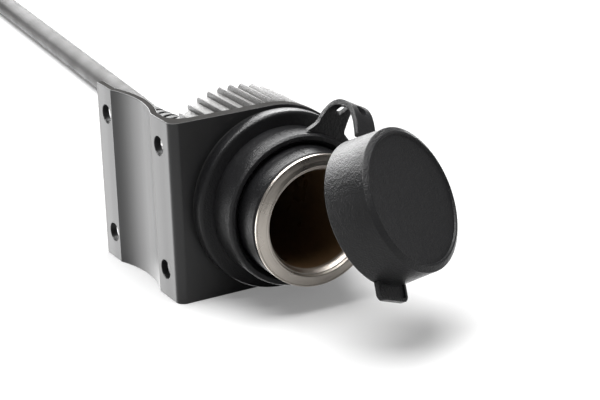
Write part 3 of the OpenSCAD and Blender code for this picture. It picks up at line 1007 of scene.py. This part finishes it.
def make_shell(settings):
    """The drawn shell with its rolled rim."""
    mouth = start("metal_shell", 1)
    finish = plated_shell("nickel and brown", settings.nickel, settings.well_brown, mouth)
    front = mouth / MM
    outer = settings.rim_radius / MM
    bore = settings.well_radius / MM
    wall = bore + 0.6
    rear = reach("metal_shell", 1) / MM
    step_y = rear - 3
    neck = bore - 1.1
    lip = bore + 1.1
    back = front + 1.55
    edge = front + 0.8
    # From behind the rim over its edge, its face and the rolled lip into the well, then round the
    # bottom and back outside
    piece = turned(
        "shell",
        [
            (wall, back, 0.1),
            (outer - 0.1, back, 0.1),
            (outer, edge + 0.45, 0.1),
            (outer, edge - 0.08, 0.16),
            (outer - 0.3, edge - 0.12, 0.1),
            (outer - 0.42, edge + 0.02, 0.1),
            (outer - 1.3, edge - 0.42, 0.6),
            (lip + 0.4, front + 0.12, 0.3),
            (lip + 0.28, front + 0.14, 0.05),
            (lip + 0.12, front, 0.1),
            (lip - 0.1, front + 0.12, 0.1),
            (lip - 0.28, front + 0.55, 0.1),
            (lip - 0.5, front + 0.62, 0.1),
            (bore + 0.2, front + 1.3, 0.3),
            (bore, front + 1.7, 0.2),
            (bore, step_y, 0.2),
            (neck, step_y, 0.2),
            (neck, rear - 0.6, 0.2),
            (5, rear - 0.6, 0),
            (5, rear, 0),
            (neck + 0.6, rear, 0.3),
            (neck + 0.6, step_y + 0.6, 0.1),
            (wall, step_y + 0.6, 0.3),
        ],
        finish,
        steps=256,
    )
    finish_piece(piece, SOCKET, "shell", "metal_shell")


def make_nut(settings):
    """The ring nut: a turned body and one rib, repeated round it."""
    # The nut's grey colour is painted sheen on black plastic, lightened for the bright backdrop
    finish = grained_plastic("nut plastic and painted sheen", settings.nut_plastic_and_sheen, (0.3, 0.42), 2400.0, 1.0)
    tip = -start("ring_nut", 2) / MM
    root = tip - settings.rib_height / MM
    bore = settings.barrel_radius / MM + 0.1
    front = start("ring_nut", 1) / MM
    rear = reach("ring_nut", 1) / MM
    front_radius = bore + 3.65
    body = turned(
        "ring_nut_body",
        [
            (bore, front, 0.1),
            (front_radius, front, 0.2),
            (root, front + root - front_radius, 0.2),
            (root, rear, 0.5),
            (bore, rear, 0.3),
        ],
        finish,
    )
    ridge = rib_mesh(root, tip, front + tip - front_radius, rear, settings.nut_ribs)
    rib = add_object("rib", ridge, finish)
    rib.data.transform(Matrix.Rotation(math.radians(0.8), 4, "Y"))
    run_tree(rib, round_axis_tree(), {"Count": settings.nut_ribs, "Material": finish})
    piece = joined("nut", [body, rib])
    smooth(piece.data)
    finish_piece(piece, SOCKET, "nut", "ring_nut")


def rib_mesh(root, tip, front, rear, count):
    """One grip rib at the top of the nut: a narrow ridge with a round back and sloping ends."""
    # The half widths are shares of the distance between two ribs
    half_root = root * math.sin(math.radians(0.2 * 360 / count))
    half_tip = tip * math.sin(math.radians(0.07 * 360 / count))
    sunk = root - 0.4
    stations = [
        (front - (tip - root), 0.0),
        (front - 0.2, 0.9),
        (front, 1.0),
        (rear - 0.6, 1.0),
        (rear - 0.2, 0.75),
        (rear, 0.3),
    ]
    rows = []
    for y, share in stations:
        top = root + (tip - root) * share
        side = half_root + (half_tip - half_root) * share
        half = [(half_root, sunk), (half_root, root - 0.02), (side, top - 0.12 * share)]
        half.append((side * 0.5, top))
        outline = [(-x, z) for x, z in half] + half[::-1]
        rows.append([(x, y, z) for x, z in outline])
    return lofted("rib", rows)


def cap_place():
    """Where the open cap hangs. The cap is made closed, along -Y, with its open end at zero."""
    mouth = start("metal_shell", 1) - 0.5 * MM
    swing = Matrix.Rotation(math.radians(OPEN_ANGLE), 4, HINGE_AXIS)
    about_hinge = Matrix.Translation(HINGE_POINT) @ swing @ Matrix.Translation(-HINGE_POINT)
    return about_hinge @ Matrix.Translation((0, mouth, 0))


def make_cap_ring(settings, finish):
    """The soft ring that sits on the collar against the flange."""
    outer = settings.ring_radius / MM
    inner = 14.3
    front = start("cap_ring", 1) / MM
    rear = reach("cap_ring", 1) / MM
    piece = turned(
        "cap_ring",
        [
            (inner, front + 1.1, 0.1),
            (inner + 1.0, front, 0.25),
            (outer - 0.35, front, 0.3),
            (outer, front + 0.6, 0.4),
            (outer, rear, 0.1),
            (inner, rear, 0.1),
        ],
        finish,
    )
    finish_piece(piece, SOCKET, "cap_rubber", "cap_ring")


def make_cap(settings, finish):
    """The cap with its recessed face, its plug ring and its pull tab."""
    outer = settings.radius / MM
    depth = settings.depth / MM
    top = outer - 0.4
    skirt = 14.45
    under = depth - 1.8
    recess = top - 1.65
    plug = 10.5
    place = cap_place()
    body = turned(
        "cap_body",
        [
            (skirt, 0, 0.2),
            (outer, 0, 0.25),
            (top, -(depth - 0.75), 0.25),
            (top - 1.15, -depth, 0.3),
            (recess + 0.1, -depth, 0.12),
            (recess, -(depth - 0.4), 0.1),
            (0, -(depth - 0.4), 0),
            (0, -under, 0),
            (plug - 1.2, -under, 0.3),
            (plug - 1.2, -(under - 4), 0.3),
            (plug, -(under - 4), 0.5),
            (plug, -under, 0.3),
            (skirt, -under, 0.4),
            (skirt, -1.6, 0.2),
            (skirt - 0.2, -1.1, 0.1),
            (skirt, -0.5, 0.1),
        ],
        finish,
        steps=192,
        place=place,
    )
    tab = pull_tab(settings, finish, place)
    piece = joined("cap", [body, tab])
    smooth(piece.data)
    finish_piece(piece, LID, "cap_rubber", "cap")


def pull_tab(settings, finish, place):
    """A flat tab with round corners and a raised border, below the cap."""
    width = settings.tab_width / MM
    inner = settings.radius / MM - 0.6
    length = settings.tab_length / MM + 0.6
    thick = 1.4
    border = 0.7
    corner = 1.3
    levels = [(0.15, 0.15), (0.0, 0.3), (0.0, thick), (0.15, thick + 0.15)]
    levels += [(border, thick + 0.15), (border + 0.12, thick - 0.2)]
    rows = []
    for inset, height in levels:
        outer = inner + length - inset
        half = width / 2 - inset
        bend = max(0.3, corner - inset)
        corners = [(inner, -half, 0), (outer, -half, bend), (outer, half, bend), (inner, half, 0)]
        rows.append([(p[0], -height, p[1]) for p in rounded(corners, 5)])
    mesh = lofted("tab", rows)
    mesh.transform(place @ Matrix.Rotation(math.radians(TAB_TURN), 4, "Y"))
    return add_object("tab", mesh, finish)


def curve_point(corners, t):
    """A point of the cubic curve with four corners."""
    s = 1 - t
    weights = (s * s * s, 3 * s * s * t, 3 * s * t * t, t * t * t)
    return sum((Vector(c) * w for c, w in zip(corners, weights)), Vector((0, 0)))


def strap_line(settings):
    """The middle of the strap's thickness, as (distance before the face plate, from the axis)."""
    root = -start("cap_ring", 1) / MM - 1.95
    radius = settings.ring_radius / MM
    crest = (settings.crest_reach / MM, settings.crest_height / MM)
    a, b = crest
    # The corners of the curve from the ring up to the crest, and of the one down to the cap
    rise = [(root, radius - 0.35), (root, b - 2.9), (root, b), crest]
    fall = [crest, (a + 3.2, b), (a + 5.7, b - 2.6), (a + 7.8, b - 4.8)]
    steps = 24
    points = [curve_point(rise, k / steps) for k in range(steps)]
    return points + [curve_point(fall, k / steps) for k in range(steps + 1)]


def make_strap(settings, finish):
    """The soft strap: a bent ribbon with two slots, from the ring to the cap."""
    line = strap_line(settings)
    thick = settings.strap_thickness / MM
    wide = settings.strap_root / MM
    narrow = settings.strap_width / MM
    count = len(line) - 1
    sides = (-1, -0.5, 0, 0.5, 1)
    section = [(side, -1) for side in sides] + [(side, 1) for side in reversed(sides)]
    rows = []
    for k, point in enumerate(line):
        along = (line[min(k + 1, count)] - line[max(k - 1, 0)]).normalized()
        normal = Vector((-along.y, along.x))
        half = (wide + (narrow - wide) * eased(k, 0, count * 0.42)) / 2
        # The root spreads where it leaves the ring
        half += 1.6 * max(0.0, 1 - (point[1] - line[0][1]) / 2.6) ** 1.5
        row = []
        for side, face in section:
            at = point + normal * (face * thick / 2)
            row.append((side * half, -at[0], at[1]))
        rows.append(row)
    piece = add_object("strap", lofted("strap", rows), finish)
    crest_a = settings.crest_reach / MM
    crest_b = settings.crest_height / MM
    # One slot on either side of the crest, turned to the slope of the strap there
    for a, b, slope in ((crest_a - 4.2, crest_b - 1.5, 50), (crest_a + 2.6, crest_b - 0.4, -22)):
        cut_slot(piece, a, b, slope)
    piece.data.transform(Matrix.Rotation(math.radians(STRAP_TURN), 4, "Y"))
    break_edges(piece, 0.18 * MM, angle=40.0)
    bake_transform(piece)
    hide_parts("cap_strap")


def cut_slot(piece, a, b, slope):
    """Cuts a slot with round ends through the strap, square to its face, in millimetres."""
    half_width = 0.9
    half_length = 0.7
    depth = 2
    steps = 12
    ring = []
    for side in (1, -1):
        for k in range(steps + 1):
            turn = math.pi * k / steps
            y = half_length + half_width * math.sin(turn)
            ring.append((side * half_width * math.cos(turn), side * y))
    mesh = lofted("slot", [[(x, y, z) for x, y in ring] for z in (-depth, depth)])
    place = Matrix.Translation((0, -a * MM, b * MM))
    mesh.transform(place @ Matrix.Rotation(math.radians(-slope), 4, "X"))
    cutter = add_object("slot", mesh)
    cut = piece.modifiers.new("slot", "BOOLEAN")
    cut.operation = "DIFFERENCE"
    cut.solver = "EXACT"
    cut.object = cutter
    apply_modifiers(piece)
    bpy.data.objects.remove(cutter)


def make_rear(finish, boot_finish):
    """The rear cover and the boot on the lead."""
    cover = merged_copy("rear_cover", "rear_cover_skin", finish)
    break_edges(cover, 0.3 * MM, angle=20.0)
    finish_piece(cover, SOCKET, "housing", "rear_cover")
    boot = merged_copy("cable_boot", "boot", boot_finish)
    break_edges(boot, 0.12 * MM)
    finish_piece(boot, SOCKET, "boot", "cable_boot")
    return boot


# The lead's points up to the coil, in millimetres
ROUTE = [
    (0, 39.5, 0), (0, 46, 0), (0, 54, 0), (0, 62, 0), (0.4, 67, -0.3), (1.4, 72, -1),
    (3, 77, -2.2), (5.4, 82, -3.8), (8.2, 87, -5.7), (11.2, 91, -7.9), (14.6, 95, -10.4),
    (17.6, 99, -12.7), (20.2, 104, -14.7), (22.2, 109, -16.1), (23.4, 114, -16.8), (24.2, 120, -17),
    (25, 129, -17), (26, 141, -17), (27, 153, -17), (28, 165, -17), (29, 177, -17), (30, 189, -17),
    (31, 201, -17), (32, 213, -17), (33, 225, -17), (34, 237, -17), (35, 249, -17), (36, 261, -17),
    (37, 273, -17), (38, 285, -17),
]


def eased(value, low, high):
    """0 before low, 1 after high, and smooth between."""
    t = max(0.0, min(1.0, (value - low) / (high - low)))
    return t * t * (3 - 2 * t)


def coil_points(settings):
    """The lead from where it meets the coil to the connector, wound inwards, up and outwards."""
    centre_x, centre_y = -3.2, 296.0
    middle = settings.coil_radius / MM
    half = settings.diameter / MM / 2
    outer = middle + half
    inner = middle - half
    bottom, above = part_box("lead_coil")
    low = bottom.z / MM + half
    high = low + 2 * half
    top = above.z / MM + half + 0.05
    points = []
    for turned_by in range(4, COIL_END, 8):
        radius = outer + 6.2 * (1 - eased(turned_by, *COMES_IN))
        radius -= (outer - inner) * eased(turned_by, *STEPS_IN)
        radius += (outer - inner) * eased(turned_by, *STEPS_OUT)
        radius -= half * eased(turned_by, *SETTLES)
        z = low + (high - low) * eased(turned_by, *CLIMBS)
        z += (top - high) * eased(turned_by, *CLIMBS_TOP)
        z += max(0.0, min(1.0, (turned_by - COIL_END + LAST_RISE) / LAST_RISE))
        angle = math.radians(turned_by)
        x = centre_x + radius * math.cos(angle)
        y = centre_y + radius * math.sin(angle)
        points.append((x, y, z))
    return points


def through(points, steps):
    """A dense line through the points, with steps between each pair."""
    line = []
    count = len(points)
    for k in range(count - 1):
        p0, p1 = Vector(points[max(k - 1, 0)]), Vector(points[k])
        p2, p3 = Vector(points[k + 1]), Vector(points[min(k + 2, count - 1)])
        for i in range(steps):
            t = i / steps
            a = 2 * p1 + (p2 - p0) * t
            b = (2 * p0 - 5 * p1 + 4 * p2 - p3) * t * t
            c = (3 * p1 - p0 - 3 * p2 + p3) * t * t * t
            line.append((a + b + c) / 2)
    line.append(Vector(points[-1]))
    return line


def make_lead(settings, boot_finish, tie_finish, pin_finish):
    """The lead, its tie and its connector."""
    line = [p * MM for p in through(ROUTE + coil_points(settings), 4)]
    curve = bpy.data.curves.new("lead", "CURVE")
    curve.dimensions = "3D"
    curve.bevel_depth = settings.diameter / 2
    curve.bevel_resolution = 5
    curve.use_fill_caps = True
    spline = curve.splines.new("POLY")
    spline.points.add(len(line) - 1)
    for point, at in zip(spline.points, line):
        point.co = (*at, 1)
    spline.use_smooth = True
    jacket = grained_plastic("lead jacket", settings.jacket, (0.5, 0.62), 1500.0, 0.15)
    lead = add_object("lead", curve, jacket)
    finish_piece(lead, SOCKET, "jacket", "lead_cable", "lead_coil", "lead_tail")
    tie = merged_copy("coil_tie", "tie", tie_finish)
    break_edges(tie, 0.2 * MM)
    finish_piece(tie, SOCKET, "black_sleeve", "coil_tie")
    plug = merged_copy("connector_body", "connector", boot_finish)
    break_edges(plug, 0.25 * MM)
    finish_piece(plug, SOCKET, "boot", "connector_body")
    for node in ("connector_pin", "connector_socket"):
        dress_node(node, pin_finish)


# The stage


def area_lamp(name, place, size, power, diffuse=True):
    """A soft lamp that looks at the socket, for reflections alone where diffuse is off."""
    data = bpy.data.lights.new(name, "AREA")
    data.shape = "RECTANGLE"
    data.size, data.size_y = size
    data.energy = power
    lamp = add_object(name, data)
    lamp.location = place
    lamp.rotation_euler = (LAMP_TARGET - Vector(place)).to_track_quat("-Z", "Y").to_euler()
    lamp.visible_diffuse = diffuse


def make_floor(settings):
    """A wide white floor under the object."""
    builder = bmesh.new()
    bmesh.ops.create_grid(builder, x_segments=1, y_segments=1, size=3.0)
    mesh = bpy.data.meshes.new("floor")
    builder.to_mesh(mesh)
    builder.free()
    mesh.transform(Matrix.Translation((0, 0, frame_low.z)))
    floor = add_object("floor", mesh, white_floor("white floor", settings.floor))


def make_world():
    """A dim grey room, white to the camera."""
    world = bpy.data.worlds.new("room")
    world.use_nodes = True
    nodes, links = world.node_tree.nodes, world.node_tree.links
    nodes.clear()
    path = nodes.new("ShaderNodeLightPath")
    mix = nodes.new("ShaderNodeMixShader")
    output = nodes.new("ShaderNodeOutputWorld")
    links.new(path.outputs["Is Camera Ray"], mix.inputs[0])
    for socket, grey in zip(mix.inputs[1:], (0.2, 1)):
        room = nodes.new("ShaderNodeBackground")
        room.inputs["Color"].default_value = (grey, grey, grey, 1)
        links.new(room.outputs[0], socket)
    links.new(mix.outputs[0], output.inputs[0])
    bpy.context.scene.world = world


def make_camera(settings):
    """The camera at the photograph's point of view."""
    az, el, roll = settings.azimuth, settings.elevation, settings.roll
    forward = Vector((math.sin(az) * math.cos(el), math.cos(az) * math.cos(el), -math.sin(el)))
    right = Vector((math.cos(az), -math.sin(az), 0))
    up = right.cross(forward)
    right_rolled = right * math.cos(roll) + up * math.sin(roll)
    up_rolled = up * math.cos(roll) - right * math.sin(roll)
    data = bpy.data.cameras.new("camera")
    data.lens = settings.lens
    data.sensor_width = 36.0
    data.clip_start = 0.01
    data.clip_end = 20
    camera = add_object("camera", data)
    turn = Matrix((right_rolled, up_rolled, -forward)).transposed().to_4x4()
    camera.matrix_world = Matrix.Translation(settings.camera_place) @ turn
    bpy.context.scene.camera = camera


# Operators


class SOCKET_OT_stage(bpy.types.Operator):
    """Make the floor, the lamps, the room and the camera"""

    bl_idname = "socket.stage"
    bl_label = "Stage"

    def execute(self, context):
        settings = context.scene.socket_stage
        make_floor(settings)
        make_world()
        make_camera(settings)
        area_lamp("back wall", (0.14, 0.8, 0.38), (1.0, 0.6), 14.0, diffuse=False)
        area_lamp("top", (-0.05, 0.05, 0.9), (0.75, 0.75), 12.5)
        context.scene.view_settings.view_transform = "Standard"
        return {"FINISHED"}


class SOCKET_OT_bracket(bpy.types.Operator):
    """Make the angle bracket"""

    bl_idname = "socket.bracket"
    bl_label = "Bracket"

    def execute(self, context):
        make_bracket(context.scene.socket_bracket)
        return {"FINISHED"}


class SOCKET_OT_body(bpy.types.Operator):
    """Make the housing, the shell, the gasket and the ring nut"""

    bl_idname = "socket.body"
    bl_label = "Socket"

    def execute(self, context):
        settings = context.scene.socket_body
        make_housing(settings)
        make_shell(settings)
        make_nut(settings)
        rubber = grained_plastic("gasket rubber", (0.02, 0.02, 0.02), (0.6, 0.75))
        dress_node("flange_gasket", rubber)
        return {"FINISHED"}


class SOCKET_OT_contacts(bpy.types.Operator):
    """Finish the contacts, their insulators and the cores"""

    bl_idname = "socket.contacts"
    bl_label = "Contacts"

    def execute(self, context):
        brass = plain_metal("brass", (0.72, 0.5, 0.22), 0.28)
        brown = laminate("brown laminate", (0.11, 0.06, 0.03))
        soft = ((0.35, 0.5), 1500.0, 0.1)
        red = grained_plastic("red insulation", (0.42, 0.03, 0.02), *soft)
        black = grained_plastic("black insulation", (0.015, 0.015, 0.015), *soft)
        finishes = {
            brass: (
                "centre_contact",
                "negative_terminal",
                "positive_terminal",
                "positive_receptacle",
                "negative_receptacle",
            ),
            brown: ("inner_insulator", "outer_insulator"),
            red: ("positive_sleeve", "positive_core"),
            black: ("negative_sleeve", "negative_core"),
        }
        for material, nodes in finishes.items():
            for node in nodes:
                dress_node(node, material)
        return {"FINISHED"}


class SOCKET_OT_cap(bpy.types.Operator):
    """Make the ring, the strap and the cap"""

    bl_idname = "socket.cap"
    bl_label = "Cap"

    def execute(self, context):
        settings = context.scene.socket_cap
        finish = grained_plastic("cap rubber", settings.rubber, (0.32, 0.42), 3000.0, 1.0)
        make_cap_ring(settings, finish)
        make_cap(settings, finish)
        make_strap(settings, finish)
        return {"FINISHED"}


class SOCKET_OT_lead(bpy.types.Operator):
    """Make the rear cover, the boot, the lead, its tie and its connector"""

    bl_idname = "socket.lead"
    bl_label = "Lead"

    def execute(self, context):
        black = grained_plastic("boot rubber", (0.018, 0.018, 0.018), (0.5, 0.65), 1800.0, 0.3)
        dark = context.scene.socket_body.plastic
        plastic = grained_plastic("cover plastic", dark, (0.36, 0.5), 2400.0, 0.3)
        tie = grained_plastic("tie plastic", (0.014, 0.014, 0.015), (0.3, 0.42), 1500.0, 0.1)
        brass = plain_metal("pin brass", (0.72, 0.5, 0.22), 0.22)
        boot = make_rear(plastic, black)
        make_lead(context.scene.socket_lead, black, tie, brass)
        return {"FINISHED"}


class SOCKET_PT_panel(bpy.types.Panel):
    """Lists the sizes, the colours and the steps of the socket"""

    bl_idname = "SOCKET_PT_panel"
    bl_label = "Socket"
    bl_space_type = "VIEW_3D"
    bl_region_type = "UI"
    bl_category = "Socket"

    def draw(self, context):
        for name in SETTINGS:
            box = self.layout.box()
            group = getattr(context.scene, name)
            for label in group.__annotations__:
                box.prop(group, label)
        for operator in OPERATORS:
            self.layout.operator(operator.bl_idname)


SETTINGS = {
    "socket_bracket": BracketSettings,
    "socket_body": SocketSettings,
    "socket_cap": CapSettings,
    "socket_lead": LeadSettings,
    "socket_stage": StageSettings,
}
OPERATORS = (
    SOCKET_OT_stage,
    SOCKET_OT_lead,
    SOCKET_OT_bracket,
    SOCKET_OT_body,
    SOCKET_OT_contacts,
    SOCKET_OT_cap,
)


def register():
    """Registers the settings, the operators and the panel."""
    for name, group in SETTINGS.items():
        bpy.utils.register_class(group)
        setattr(bpy.types.Scene, name, PointerProperty(type=group))
    for operator in OPERATORS:
        bpy.utils.register_class(operator)
    bpy.utils.register_class(SOCKET_PT_panel)


def unregister():
    """Takes the classes out again."""
    bpy.utils.unregister_class(SOCKET_PT_panel)
    for operator in reversed(OPERATORS):
        bpy.utils.unregister_class(operator)
    for name, group in reversed(SETTINGS.items()):
        delattr(bpy.types.Scene, name)
        bpy.utils.unregister_class(group)


def main():
    """Builds everything in order."""
    register()
    for operator in OPERATORS:
        area, step = operator.bl_idname.split(".")
        getattr(getattr(bpy.ops, area), step)()


if __name__ == "__main__":
    main()
